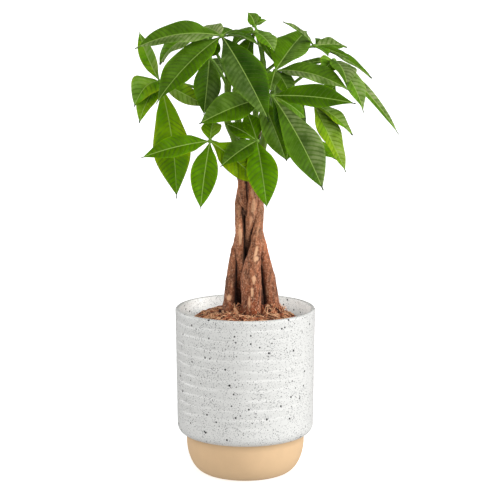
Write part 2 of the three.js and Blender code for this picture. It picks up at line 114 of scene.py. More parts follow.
# Leaves: (name, shoot, place along the shoot, hub, the way the leaf faces, leaflets). Each leaflet is
# (x, y, z of the tip from the hub, width, arch, roll in degrees, tone from -1 deep to 1 yellow, which holds
# both its own green and painted light and shade, painted sheen from -1 to 1, on its left half below 0 and on
# its right half above, and skew if not the usual: above 1 a leaflet is widest nearer its tip).
LEAVES = (
    ("leaf_top_left", "shoot_left", 1, (-20, -35, 394), (-0.1, -0.5, 0.86), (
        (-74, -10, -10, 26, 8, -8, -0.35, -0.6, 0.95), (-55, -52, -53, 31, 6, 0, -0.3, 0.08),
        (40, -50, -68, 32, 5, 0, -0.7, 0.22), (33, -8, -8, 15, 5, -25, -0.6, 0.3),
        (14, 34, 0, 18, 3, 0, -0.5, 0.2), (-17, 38, 5, 18, 2, 0, 0.1, 1))),
    ("leaf_upper_left", "shoot_left", 0.9, (-34, 7, 389), (-0.35, -0.4, 0.85), (
        (-41, -4, -23, 34, 10, 0, 0.2, -0.9), (-40, 36, -24, 26, 7, 0, 0.2, 0.4),
        (0, 52, -14, 24, 6, 0, 0, 0), (-14, -16, -30, 18, 2, 0, -0.2, 0))),
    ("leaf_inner_left", "shoot_left", 0.84, (-31, -16, 374), (0.15, -0.85, 0.5), (
        (-5, -12, -49, 23, 3, 0, -0.5, -0.25), (8, 4, 14, 11, 2, 0, -0.3, 0))),
    ("leaf_left", "shoot_left", 0.72, (-74, -15, 353), (-0.4, -0.85, 0.35), (
        (-18.3, 12, 43, 13, 6, 20, 0.5, 0.5), (-21.5, -22, -19.5, 27, 9, 0, 0.6, 0.3, 0.96),
        (-17, -30, -32.5, 19, 4, 0, 0.6, 0.1), (14, -8, -101.5, 34, -8, 0, 0.65, 0, 1.35),
        (41, 9, -22.5, 15, 3, 0, 0.6, 0.5))),
    ("leaf_low_left", "shoot_left", 0.2, (-30, -55, 306), (-0.1, -0.8, 0.6), (
        (-58.5, -15, -12.5, 19, 4, -8, 0.1, 0), (-8, -24, -55.5, 22.5, 4, 0, 0.25, 0, 1.1),
        (2.5, 24, 14, 17, 3, 0, 0.7, 0.2), (43, 6, -38, 26, 5, 0, 0.8, 0))),
    ("leaf_crown", "shoot_right", 0.78, (9, 12, 394), (0, -0.2, 1), (
        (16.5, -27, -15.5, 18, 3, 0, 0.2, -0.5), (17, -8, -27, 6, 1, 60, 0.3, 0.2),
        (15.5, 16, -6.5, 12, 2, 0, -0.4, 0.3), (-20, -8, -12, 22, 3, 0, -0.5, 0),
        (-8, 2, -40, 23, 5, 0, -0.3, 0), (-25.5, 30, -6, 16, 3, 0, -0.3, 0.4))),
    ("leaf_young", "shoot_right", 1, (8, 36, 398), (0, -0.7, 0.7), (
        (-6, -3, 12, 12, 3, 0, 0.2, 0.3), (11, 0, 5, 6, 1, 0, 0.2, 0.3), (4, 14, 8, 8, 2, 0, 0.2, 0.3))),
    ("leaf_upper_right", "shoot_right", 0.7, (61.7, 30, 380.4), (0.3, -0.2, 0.9), (
        (-28.5, -12, 22.5, 9, 2, -15, -0.6, 0.6), (29.5, 16, -2.5, 19, 2, 6, 0, -1),
        (29.5, -20, -9, 14, 1, 8, -0.2, 0.3), (50.5, -8, -28, 15, 3.5, 8, -0.3, 0.5, 1.25),
        (18, 46, -10, 20, 5, 0, -0.2, 0), (11, -28, -6, 13, 1, 0, 0.2, 0))),
    ("leaf_centre_right", "shoot_right", 0.56, (26, -20, 363), (0.1, -0.5, 0.86), (
        (30, 87, 28.5, 30, 4, 0, -0.1, 0.2, 0.88), (65, -25, -16, 26, 7, 0, -0.2, 0.6, 0.98),
        (-5, -20, -16, 13, 3, 0, -0.1, -0.3), (13, -12, -22, 18, 3, 0, 0.3, -0.3))),
    ("leaf_right", "shoot_right", 0.44, (77, -8, 371), (0.4, -0.5, 0.8), (
        (-35, 10, -6, 10, 1, 0, -0.3, 0.2), (-11, -22, -9, 18, 3, 0, 0.5, 0.2),
        (10, -36, -18, 24, 4, 0, -0.4, -0.7), (25.5, -20, -43.5, 22, 5, 0, 0.1, -0.7),
        (57, -8, -64, 9, 4, 20, 0, -1), (28, 20, -24, 16, 1, 0, -0.1, 0.1))),
    ("leaf_front_right", "shoot_right", 0.36, (23, -58, 345), (0.1, -0.75, 0.65), (
        (70, -15, -5, 23.5, 4, 0, -0.5, 0), (42.5, -34, -76, 31, 7, 0, -0.4, -0.55, 1.42),
        (17, -12, -48, 13, 3, 30, -0.8, 0), (29, 14, -21, 18, 3, 0, 0.5, 0.2))),
    ("leaf_centre", "shoot_front", 1, (14, -40, 341), (-0.1, -0.7, 0.7), (
        (-53, -34, -18, 28, 3, -10, -0.2, 0.2), (21.5, 4, -55, 23, 3, 0, 0, 0.2),
        (-18, 12, 14, 16, 3, 0, -0.2, 0))),
    ("leaf_low_front", "shoot_front", 0.3, (10, -45, 305), (0, -0.75, 0.65), (
        (8.5, -25, -55, 26, 5, 0, 0.3, 0), (-31, -32, -18, 20, 3, 0, -0.4, 0.1),
        (-27, 14, 13, 15, 3, 0, 0, 0), (-8.5, 20, 22.5, 16, 2, 0, 0.1, 0))),
    ("leaf_low_right", "shoot_back_right", 0.8, (60, -14, 333), (0.5, -0.5, 0.7), (
        (27, -26, -55.5, 26, 0, 0, 0.75, -0.6, 0.8), (33.6, -4, -26.5, 17, 3.5, 0, 0.65, -0.6),
        (20, 26, 14, 16, 2, 0, 0.3, 0.2))),
    ("leaf_inner_right", "shoot_back_right", 0.35, (40, 25, 312), (0.2, -0.2, 0.9), (
        (44.5, -6, -33, 29, -3, 0, 0.5, 0, 1.2), (-3.5, -8, -33, 18, 3, 0, 0.3, 0),
        (24, 46, -36, 24, 4, 0, 0, 0), (-3.5, 46, -30, 24, 6, 0, 0, 0))),
    ("leaf_back_right", "shoot_back_right", 1, (30, 74, 350), (0.2, 0.5, 0.85), (
        (26, 24, -62, 22, 0, 0, -0.1, 0), (24, 56, -50, 21, 0, 0, 0, 0), (-20, 56, -28, 27, 10, 0, 0.1, 0),
        (6, 30, -60, 24, 6, 0, 0.2, 0))),
    ("leaf_back", "shoot_back_left", 1, (-14, 62, 362), (-0.2, 0.4, 0.9), (
        (-46, -4, -14, 26, 5, 0, 0, 0), (-54, 40, -24, 30, 9, 0, -0.1, 0), (-12, 66, -24, 30, 11, 0, 0, 0),
        (-30, 16, -38.5, 22, 4, 0, 0.1, 0))),
)


# Helpers


def linear(hex_colour):
    """An sRGB hex colour as linear red, green and blue."""
    parts = [int(hex_colour[i : i + 2], 16) / 255 for i in (1, 3, 5)]
    return tuple(c / 12.92 if c <= 0.04045 else ((c + 0.055) / 1.055) ** 2.4 for c in parts)


def toned(colour, share):
    """A colour made darker or brighter by that share."""
    return tuple(min(1, c * share) for c in colour)


def fill(node, *values, **named):
    """Fills a node's inputs in their order, or by name with _ for a space. A value may be a number, a vector,
    a linear or hex colour, an output, or a node, which stands for its first output."""
    inputs = [socket for socket in node.inputs if socket.enabled][: len(values)]
    inputs += [node.inputs[name.replace("_", " ")] for name in named]
    for socket, value in zip(inputs, (*values, *named.values())):
        if isinstance(value, bpy.types.Node):
            value = next(output for output in value.outputs if output.enabled)
        if isinstance(value, bpy.types.NodeSocket):
            node.id_data.links.new(value, socket)
        elif socket.type == "RGBA":
            socket.default_value = (*(linear(value) if isinstance(value, str) else value), 1)
        else:
            socket.default_value = value


def add_node(tree, kind, *values, **named):
    """Adds a node. Names in lower case are its settings, and the rest fills its inputs."""
    node = tree.nodes.new("ShaderNode" + kind)
    for name in [name for name in named if name.islower()]:
        setattr(node, name, named.pop(name))
    fill(node, *values, **named)
    return node


def new_material(name, **sockets):
    """A material, its Principled shader with those sockets filled, and what adds nodes to it."""
    material = bpy.data.materials.new(name)
    material.use_nodes = True
    shader = material.node_tree.nodes["Principled BSDF"]
    fill(shader, **sockets)
    return material, shader, partial(add_node, material.node_tree)


def unrest(places, size_mm, seed=0.0, stretch=1.0):
    """Smooth noise from -1 to 1 at each point, with bumps of that size, longer upwards by stretch."""
    scaled = np.asarray(places) / (size_mm * MM)
    scaled = scaled * (1, 1, 1 / stretch) + seed
    return np.array([noise.noise(Vector(p)) for p in scaled.reshape(-1, 3)]).reshape(scaled.shape[:-1])


def smoothed(x):
    """0 below 0 and 1 above 1, with a smooth step between."""
    x = np.clip(x, 0, 1)
    return x * x * (3 - 2 * x)


def placed(name, data):
    """A new object in the scene."""
    made = bpy.data.objects.new(name, data)
    bpy.context.scene.collection.objects.link(made)
    return made


class Shape:
    """The vertices, faces, face materials and vertex values of a piece, gathered part by part."""

    def __init__(self):
        self.places, self.faces, self.slots, self.values = [], [], [], []
        self.count = 0

    def add_rings(self, rings, slot=0, value=(0, 0, 0, 0)):
        """A closed skin through rings of points. The slot is one material, or one for each side or quad, and
        the value is four numbers for all or for each vertex."""
        rows, sides, _ = rings.shape
        first = self.count + np.arange(rows - 1)[:, None] * sides
        here = np.arange(sides)[None]
        after = (here + 1) % sides
        quads = np.stack([first + here, first + after, first + sides + after, first + sides + here], -1)
        last = self.count + (rows - 1) * sides
        self.faces += quads.reshape(-1, 4).tolist()
        self.faces.append(list(range(self.count + sides - 1, self.count - 1, -1)))
        self.faces.append(list(range(last, last + sides)))
        self.slots += np.broadcast_to(slot, (rows - 1, sides)).ravel().tolist()
        self.slots += [int(np.ravel(slot)[0])] * 2
        self.places.append(rings.reshape(-1, 3))
        self.values.append(np.broadcast_to(value, (rows, sides, 4)).reshape(-1, 4))
        self.count += rows * sides

    def piece(self, name, node, materials):
        """The finished object, which stands for a CAD node and takes its finish from a slot."""
        mesh = bpy.data.meshes.new(name)
        mesh.from_pydata(np.concatenate(self.places), [], self.faces)
        mesh.polygons.foreach_set("material_index", self.slots)
        values = np.concatenate(self.values).astype(np.float32)
        held = mesh.attributes.new("surface", "FLOAT_VECTOR", "POINT")
        held.data.foreach_set("vector", values[:, :3].ravel())
        held = mesh.attributes.new("sheen", "FLOAT", "POINT")
        held.data.foreach_set("value", values[:, 3].copy())
        for material in materials:
            mesh.materials.append(material)
        mesh.shade_smooth()
        mesh.validate()
        made = placed(name, mesh)
        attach(made, BODY)
        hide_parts(node)


def turned(profile, sides):
    """Rings of points on the Z axis from (radius, height) pairs in metres."""
    radius, height = np.array(profile, float).T
    turn = np.linspace(0, 2 * math.pi, sides, endpoint=False)
    return np.stack([np.outer(radius, np.cos(turn)), np.outer(radius, np.sin(turn)),
                     np.outer(height, np.ones(sides))], -1)


def corner(radius, height, size, start, end, count):
    """(radius, height) pairs on part of a circle, or with two sizes an ellipse, between angles in degrees."""
    across, rise = np.broadcast_to(size, 2)
    turn = np.radians(np.linspace(start, end, count))
    return list(zip(radius + across * np.cos(turn), height + rise * np.sin(turn)))


def line_through(stations, shares):
    """Points and radii in metres on a centripetal curve through (x, y, z, radius) stations in millimetres."""
    stations = np.array(stations, float) * MM
    points = stations[:, :3]
    points = np.concatenate([[2 * points[0] - points[1]], points, [2 * points[-1] - points[-2]]])
    place = np.asarray(shares, float) * (len(stations) - 1)
    k = np.minimum(place.astype(int), len(stations) - 2)
    w = (place - k)[:, None]
    p0, p1, p2, p3 = (points[k + i] for i in range(4))
    d0, d1, d2 = (np.linalg.norm(b - a, axis=1)[:, None] ** 0.5 for a, b in ((p0, p1), (p1, p2), (p2, p3)))
    leave = ((p1 - p0) / d0 - (p2 - p0) / (d0 + d1) + (p2 - p1) / d1) * d1
    reach = ((p2 - p1) / d1 - (p3 - p1) / (d1 + d2) + (p3 - p2) / d2) * d1
    curve = (p1 + leave * w + (3 * (p2 - p1) - 2 * leave - reach) * w**2
             + (2 * (p1 - p2) + leave + reach) * w**3)
    radii = stations[k, 3] * (1 - w[:, 0]) + stations[k + 1, 3] * w[:, 0]
    return curve, radii


def unit(v):
    """Vectors of length one."""
    return v / np.linalg.norm(v, axis=-1, keepdims=True)


def rings_round(curve, radii, sides):
    """Round rings of points along a curve; radii holds one number for each ring, or one for each point."""
    along = unit(np.gradient(curve, axis=0))
    across = np.array([1.0, 0, 0])
    side = unit(across - along * (along @ across)[:, None])
    other = np.cross(along, side)
    turn = np.linspace(0, 2 * math.pi, sides, endpoint=False)
    radii = np.broadcast_to(np.asarray(radii).reshape(len(curve), -1), (len(curve), sides))[..., None]
    out = side[:, None] * np.cos(turn)[:, None] + other[:, None] * np.sin(turn)[:, None]
    return curve[:, None] + out * radii


# Materials


def speckled_glaze(look):
    """Satin stoneware glaze over iron-speckled clay: off-white, dotted with grey to black specks."""
    material, shader, add = new_material("Speckled stoneware glaze", Roughness=0.42, IOR=1.5)
    spot = add("TexCoord").outputs["Object"]
    cloud = add("TexNoise", spot, Scale=1 / (14 * MM), Detail=2)
    # Iron specks about 0.8, 1.1 and 2 mm across, as they are sliced by the surface. The finest stand for
    # grains under half a millimetre, drawn as coarse as it takes for them to show.
    colour = look.glaze_colour
    for spacing, radius, soft, darkest, palest in (
        (1.25, 0.36, 0.3, "#66676A", "#BEBEBB"),
        (2.7, 0.47, 0.3, "#2C2D2F", "#8F8F8D"),
        (8, 0.95, 0.2, "#050507", "#202022"),
    ):
        share = radius / spacing
        cells = add("TexVoronoi", spot, Scale=1 / (spacing * MM))
        reach = add("MapRange", cloud, 0.3, 0.7, 0.75 * share, 1.15 * share)
        edge = add("Math", cells, reach, operation="DIVIDE")
        mask = add("MapRange", edge, 1 - soft, 1 + soft, 1, 0, interpolation_type="SMOOTHSTEP")
        shade = add("Mix", cells.outputs["Color"], darkest, palest, data_type="RGBA")
        colour = add("Mix", mask, colour, shade, data_type="RGBA")
    # The glaze pools unevenly, in dimples about 2 mm across.
    dimples = add("TexNoise", spot, Scale=1 / (2 * MM), Detail=3)
    bump = add("Bump", Height=dimples, Strength=0.3, Distance=0.2 * MM)
    fill(shader, Base_Color=colour, Normal=bump)
    return material


def tan_slip(look):
    """Matte coloured slip on the foot: no gloss, with a faint cloudiness from the brush."""
    material, shader, add = new_material("Tan matte slip", Roughness=0.7, IOR=1.45)
    spot = add("TexCoord").outputs["Object"]
    cloud = add("TexNoise", spot, Scale=1 / (9 * MM), Detail=4)
    tone = add("Mix", cloud, toned(look.foot_colour, 0.95), toned(look.foot_colour, 1.05), data_type="RGBA")
    # Fine sandy tooth, 0.4 mm.
    grain = add("TexNoise", spot, Scale=1 / (0.4 * MM), Detail=2)
    fill(shader, Base_Color=tone, Normal=add("Bump", Height=grain, Strength=0.3, Distance=0.05 * MM))
    return material


def moulded_plastic():
    """Injection moulded polypropylene: near black, with a dull sheen under smears of dust."""
    material, shader, add = new_material("Black polypropylene", IOR=1.49)
    # Smears of dust 6 mm wide grey and dull it.
    dust = add("TexNoise", add("TexCoord").outputs["Object"], Scale=1 / (6 * MM), Detail=5)
    tone = add("Mix", dust, "#17181A", "#3A3733", data_type="RGBA")
    fill(shader, Base_Color=tone, Roughness=add("MapRange", dust, 0, 1, 0.4, 0.7))
    return material


def potting_mix():
    """Damp peat with pale grit: dark crumbs about 1.5 mm across."""
    material, shader, add = new_material("Peat potting mix", Roughness=0.95, IOR=1.4)
    crumbs = add("TexVoronoi", add("TexCoord").outputs["Object"], Scale=1 / (1.5 * MM))
    tone = add("Mix", crumbs, "#4A3526", "#1D130C", data_type="RGBA")
    bump = add("Bump", Height=crumbs, Strength=0.9, Distance=0.8 * MM, invert=True)
    fill(shader, Base_Color=tone, Normal=bump)
    return material


def coir_mat():
    """Matted coconut fibre under the loose ones: rust brown, with painted shade in its hollows."""
    material, shader, add = new_material("Coconut coir mat", Roughness=0.95, IOR=1.45)
    spot = add("TexCoord").outputs["Object"]
    # Fibre bundles 1.2 mm wide.
    tangle = add("TexNoise", spot, Scale=1 / (2.2 * MM), Detail=4, Distortion=1.5)
    depth = add("MapRange", tangle, 0.35, 0.65)
    # Painted shade: the lower the tangle, the darker.
    tone = add("Mix", depth, "#140602", "#783C22", data_type="RGBA")
    fill(shader, Base_Color=tone, Normal=add("Bump", Height=depth, Strength=0.9, Distance=0.8 * MM))
    return material


def coir_fibre():
    """Loose coconut fibres: dry and faintly silky, each from dark rust to pale straw by its own tone and
    painted shade.
    """
    material, shader, add = new_material("Coconut coir fibre", Roughness=0.7, IOR=1.5)
    tone = add("SeparateXYZ", add("Attribute", attribute_name="surface").outputs["Vector"])
    brown = add("Mix", add("MapRange", tone, 0, 0.6), "#341006", "#C26C42", data_type="RGBA")
    straw = add("Mix", add("MapRange", tone, 0.6, 1), brown, "#F9C496", data_type="RGBA")
    fill(shader, Base_Color=straw)
    return material


def bark(look):
    """Young money tree bark: red-brown, corky, grained upwards, tan where scraped, green near the top."""
    material, shader, add = new_material("Money tree bark", Roughness=0.82, IOR=1.45)
    spot = add("TexCoord").outputs["Object"]
    held = add("Attribute", attribute_name="surface").outputs["Vector"]
    scar, green, painted_shade = add("SeparateXYZ", held).outputs
    # Cork grain: streaks 1.3 mm wide and 5 mm long, patches 11 mm wide, and pores 0.8 mm across.
    long_way = add("Mapping", spot, Scale=(1, 1, 0.26))
    streaks = add("TexNoise", long_way, Scale=1 / (2.6 * MM), Detail=5, Roughness=0.7)
    patches = add("TexNoise", long_way, Scale=1 / (11 * MM), Detail=2)
    pores = add("TexNoise", spot, Scale=1 / (1.6 * MM), Detail=3, Roughness=0.7)
    light = add("MapRange", streaks, 0.38, 0.62)
    grain = add("Mix", light, toned(look.bark_colour, 0.4), toned(look.bark_colour, 1.5), data_type="RGBA")
    # The bark is darker and redder towards the bottom, up to about 75 mm above the mulch.
    dry = add("MapRange", add("SeparateXYZ", spot).outputs["Z"], 160 * MM, 220 * MM)
    low_tint = add("Mix", dry, (0.68, 0.58, 0.52), (1.05, 1.05, 1.05), data_type="RGBA")
    aged = add("Mix", 1, grain, low_tint, data_type="RGBA", blend_type="MULTIPLY")
    # Grey-brown patches over red-brown ones.
    warm = add("MapRange", patches, 0.38, 0.62)
    cast = add("Mix", warm, (1.05, 0.86, 0.74), (0.98, 1.1, 1.22), data_type="RGBA")
    colour = add("Mix", 1, aged, cast, data_type="RGBA", blend_type="MULTIPLY")
    pale = add("MapRange", pores, 0.54, 0.68, 0, 0.75)
    dark = add("MapRange", pores, 0.46, 0.34, 0, 0.7)
    # The last tint, #140603, is painted shade in the creases and gaps where the other trunks close over the
    # bark.
    for share, tint in (
        (pale, "#D8A888"), (dark, "#32160B"), (scar, "#E2B088"), (green, look.stem_colour),
        (painted_shade, "#140603"),
    ):
        colour = add("Mix", share, colour, tint, data_type="RGBA")
    fill(shader, Base_Color=colour, Normal=add("Bump", Height=streaks, Strength=0.9, Distance=0.9 * MM))
    return material


def stem_rind(name, colour, contrast):
    """Green rind, smooth and slightly waxy: fine streaks, more or less in contrast, and brown where corky."""
    material, shader, add = new_material(name, Roughness=0.5, IOR=1.42)
    # Streaks 1 mm wide and 5 mm long.
    long_way = add("Mapping", add("TexCoord").outputs["Object"], Scale=(1, 1, 0.2))
    streaks = add("TexNoise", long_way, Scale=1 / (2 * MM), Detail=3)
    green = add("Mix", streaks, toned(colour, 1 - contrast), toned(colour, 1 + contrast), data_type="RGBA")
    corky = add("SeparateXYZ", add("Attribute", attribute_name="surface").outputs["Vector"])
    tone = add("Mix", corky, green, "#6F4A31", data_type="RGBA")
    fill(shader, Base_Color=tone, Normal=add("Bump", Height=streaks, Strength=0.3, Distance=0.3 * MM))
    return material


def leaf_face(name, greens, vein_colour, roughness, vein_share, groove_shade_tone):
    """One face of a blade: a waxy cuticle over green from deep through fresh to yellow, with pale veins."""
    material, shader, add = new_material(name, Roughness=roughness, IOR=1.42, Specular_IOR_Level=0.05)
    spot = add("TexCoord").outputs["Object"]
    held = add("Attribute", attribute_name="surface").outputs["Vector"]
    painted_sheen = add("Attribute", attribute_name="sheen").outputs["Fac"]
    from_rib, phase, tone = add("SeparateXYZ", held).outputs
    # 0 on a side vein and 0.5 halfway between two.
    vein = add("Math", phase, 0.5, operation="PINGPONG")
    colour = greens[0]
    for low, high, green in zip((-1, 0, 0.5), (0, 0.5, 1), greens[1:]):
        colour = add("Mix", add("MapRange", tone, low, high), colour, green, data_type="RGBA")
    # Cloudy patches 9 mm across.
    cloud = add("TexNoise", spot, Scale=1 / (9 * MM), Detail=3)
    mottle = add("MapRange", cloud, 0.3, 0.7, 0.78, 1.22)
    # Painted shade: the blade is darker in the grooves along its side veins, here more and there less.
    stretch = add("TexNoise", spot, Scale=1 / (16 * MM), Detail=1)
    groove_shade_depth = add("MapRange", stretch, 0.38, 0.56, 0.92, groove_shade_tone)
    groove_shade = add("MapRange", vein, 0.02, 0.17, groove_shade_depth, 1.04)
    depth = add("Math", mottle, groove_shade, operation="MULTIPLY")
    clouded = add("VectorMath", colour, depth, operation="SCALE")
    veined = add("Mix", add("MapRange", vein, 0, 0.1, vein_share, 0), clouded, vein_colour, data_type="RGBA")
    # Painted sheen greys the leaflets that have it, in patches, most of all on the pillows between the veins.
    sheen_patches = add("MapRange", cloud, 0.34, 0.62, 0.15, 0.7)
    pillow = add("MapRange", vein, 0.08, 0.26, 0.3, 1)
    spread = add("Math", sheen_patches, pillow, operation="MULTIPLY")
    share = add("Math", painted_sheen, spread, operation="MULTIPLY")
    with_sheen = add("Mix", share, veined, "#A9AE80", data_type="RGBA")
    # The midrib is about 1 mm wide.
    ribbed = add("Mix", add("MapRange", from_rib, 0.3, 0.65, 0.8, 0), with_sheen, vein_colour, data_type="RGBA")
    # The net of the smallest veins, about 1 mm apart.
    net = add("TexVoronoi", spot, Scale=1 / (1.2 * MM), feature="DISTANCE_TO_EDGE")
    fill(shader, Base_Color=ribbed, Normal=add("Bump", Height=net, Strength=0.12, Distance=0.3 * MM))
    return material


# Settings


def length(name, description, millimetres):
    """A length setting, in metres."""
    return FloatProperty(name=name, description=description, default=millimetres * MM, min=0, unit="LENGTH",
                         subtype="DISTANCE", precision=5)


def paint(name, description, hex_colour):
    """A colour setting."""
    return FloatVectorProperty(name=name, description=description, default=linear(hex_colour), min=0, max=1,
                               subtype="COLOR")


def amount(name, description, number):
    """A plain number setting."""
    return FloatProperty(name=name, description=description, default=number, min=0)


class PlanterSettings(bpy.types.PropertyGroup):
    height: length("Height", "Height of the planter", 150)
    radius: length("Radius", "Outside radius of the planter's lip", 62.5)
    wall: length("Wall", "Thickness of the wall", 4.5)
    lip: length("Lip rounding", "Rounding of the lip", 2)
    body_bottom: length("Body bottom", "Height where the glazed body meets the foot", 36)
    body_bottom_radius: length("Body bottom radius", "Radius of the glazed body at its foot", 60.9)
    body_corner: length("Body corner", "Rounding under the glazed body", 8.5)
    foot_radius: length("Foot radius", "Radius of the flat the planter stands on", 35)
    foot_side_radius: length("Foot side radius", "Radius of the foot above its rounding", 52.8)
    foot_top_radius: length("Foot top radius", "Radius of the foot where the body starts", 53)
    foot_rounding: length("Foot rounding", "Height of the rounding at the base", 30)
    floor: length("Floor", "Thickness of the planter's floor", 8)
    rib_top: length("Rib top", "Height of the highest rib", 141)
    rib_depth: length("Rib depth", "How deep the throwing ribs are", 0.45)
    ribs: IntProperty(name="Ribs", description="Number of throwing ribs", default=11, min=1, max=40)
    glaze_colour: paint("Glaze", "Colour of the glaze between its specks", "#D9D9D6")
    foot_colour: paint("Foot", "Colour of the matte foot", "#D9B78E")


class FillSettings(bpy.types.PropertyGroup):
    pot_rim_radius: length("Pot rim radius", "Outside radius of the grow pot's rim", 50)
    pot_rim_height: length("Pot rim height", "Height of the grow pot's rim", 136)
    pot_rim_depth: length("Pot rim depth", "Height of the turned-out rim", 7)
    pot_top_radius: length("Pot top radius", "Radius of the grow pot below its rim", 48.2)
    pot_foot_radius: length("Pot foot radius", "Radius of the grow pot's foot", 37)
    pot_wall: length("Pot wall", "Wall of the grow pot", 1.4)
    mulch_radius: length("Mulch radius", "Radius of the coir mulch", 45)
    mulch_edge: length("Mulch edge", "Height of the mulch at its edge", 137)
    mulch_top: length("Mulch top", "Height of the mulch round the trunks", 146)
    fibres: IntProperty(name="Fibres", description="Number of loose fibres", default=3400, min=0, max=5000)


class PlantSettings(bpy.types.PropertyGroup):
    bark_relief: length("Bark relief", "How far the bark stands out", 0.55)
    stalk_base: length("Stalk base", "Radius of a leaf stalk at the shoot", 1.6)
    stalk_tip: length("Stalk tip", "Radius of a leaf stalk at the hub", 1.05)
    blade_thickness: length("Blade thickness", "Thickness of a leaflet", 0.6)
    vein_spacing: length("Vein spacing", "Distance between the side veins", 4.4)
    quilt: length("Quilting", "How far the blade rises between its veins", 1.3)
    bark_colour: paint("Bark", "Colour of the bark", "#A66B49")
    stem_colour: paint("Stem", "Colour of the green shoots", "#688A1C")
    stalk_colour: paint("Stalk", "Colour of the leaf stalks", "#6F962A")
    leaf_colour: paint("Leaf", "Colour of a leaf's upper face", "#4C7300")
    underside_colour: paint("Underside", "Colour of a leaf's under face", "#64843A")


class StageSettings(bpy.types.PropertyGroup):
    lens: FloatProperty(name="Lens", description="Focal length of the camera", default=148.2, unit="CAMERA")
    pitch: FloatProperty(
        name="Pitch", description="How far down the camera looks", default=math.radians(10.18),
        subtype="ANGLE")
    distance: length("Distance", "How far in front of the plant the camera stands", 1800)
    camera_height: length("Camera height", "Height of the camera", 525)
    key: amount("Key", "Strength of the key light", 2.22)
    room: amount("Room", "Strength of the light from the white room", 0.36)
    mouth: amount("Mouth", "Power of the light bounced into the planter", 0.045)
    floor_colour: paint("Floor", "Colour of the floor", "#F4F4F4")


# Operators, each after the functions that shape its piece


def throw_ribs(look, rings, low, lip_low):
    """Presses the throwing ribs into the body: a soft band with a narrow ledge over each, all uneven."""
    radius = np.linalg.norm(rings[..., :2], axis=-1)
    outside = (rings[..., 2] >= low) & (radius > look.radius - look.wall + 0.1 * MM)
    pitch = (look.rib_top - low) / look.ribs
    places = rings[outside]
    band = (places[:, 2] - low) / pitch + 0.09 * unrest(places, 34, 3.1, 0.5)
    up_band = band % 1
    # From a band's lower edge the wall swells out, then falls back to the ledge of the band above.
    swell = smoothed(up_band / 0.7) * (1 - smoothed((up_band - 0.82) / 0.18))
    # The ribs fade out within half a band of the lip, and within the two lowest bands.
    faded = smoothed((lip_low - places[:, 2]) / (0.5 * pitch))
    faded = faded * smoothed((places[:, 2] - low) / (2.2 * pitch))
    # The hand pressed hardest at the front and the back, and now and then let go, in each band on its own.
    front = np.abs(places[:, 1] + 0.5 * places[:, 0]) / look.radius
    own_noise = np.floor(band) * 31 * MM
    held = unrest(np.stack([places[:, 0], places[:, 1], own_noise], 1), 26, 7.7)
    uneven = np.clip(0.9 + 2.2 * held, 0.05, 1.7) * (0.2 + 0.8 * smoothed((front - 0.45) / 0.45))
    press = look.rib_depth * (1 - swell) * faded * uneven
    shrink = 1 - press / np.linalg.norm(places[:, :2], axis=1)
    rings[outside] = places * np.stack([shrink, shrink, np.ones_like(shrink)], 1)


class MONEYTREE_OT_planter(bpy.types.Operator):
    """The stoneware planter: a speckled, ribbed body on a matte foot"""

    bl_idname = "moneytree.planter"
    bl_label = "Planter"

    def execute(self, context):
        look = context.scene.money_planter
        sides, rows_a_rib = 224, 12
        low, lip_low = look.body_bottom + look.body_corner, look.height - look.lip
        inner = look.radius - look.wall

        def body_radius(z):
            share = (z - look.body_bottom) / (look.height - look.body_bottom)
            return look.body_bottom_radius + share * (look.radius - look.body_bottom_radius)

        # The outside from the middle of the bottom up.
        foot = [(look.foot_radius * share, 0) for share in (0.02, 0.5, 0.9)]
        foot_corner = (look.foot_side_radius - look.foot_radius, look.foot_rounding)
        foot += corner(look.foot_radius, look.foot_rounding, foot_corner, -90, 0, 24)
        foot += [(look.foot_top_radius, look.body_bottom)]
        under = corner(body_radius(low) - look.body_corner, low, look.body_corner, -85, -12, 12)
        ribbed = [(body_radius(z), z) for z in np.linspace(low, lip_low, (look.ribs + 1) * rows_a_rib)[:-1]]
        lip = corner(look.radius - look.lip, lip_low, look.lip, 0, 90, 7)
        lip += corner(inner + look.lip, lip_low, look.lip, 90, 180, 7)[1:]
        # Inside, the wall runs down to a shoulder, in to the foot, and round a corner to the floor.
        shoulder, round_in, middle = (55.9 * MM, 48 * MM), 11 * MM, 1 * MM
        inside = [(inner, look.height - depth) for depth in (12 * MM, 40 * MM)]
        inside += [shoulder, (look.foot_top_radius - look.wall, look.body_bottom)]
        inside += corner(
            look.foot_side_radius - look.wall - round_in, look.floor + round_in, round_in, 0, -90, 8)
        inside += [(middle, look.floor)]
        rings = turned(foot + under + ribbed + lip + inside, sides)
        throw_ribs(look, rings, low, lip_low)
        # The slip covers the foot and its flat bottom.
        slots = np.zeros((len(rings) - 1, sides), int)
        slots[: len(foot)] = 1
        shape = Shape()
        shape.add_rings(rings, slots)
        shape.slots[-2] = 1
        shape.piece("stoneware_planter", "planter", [speckled_glaze(look), tan_slip(look)])
        return {"FINISHED"}


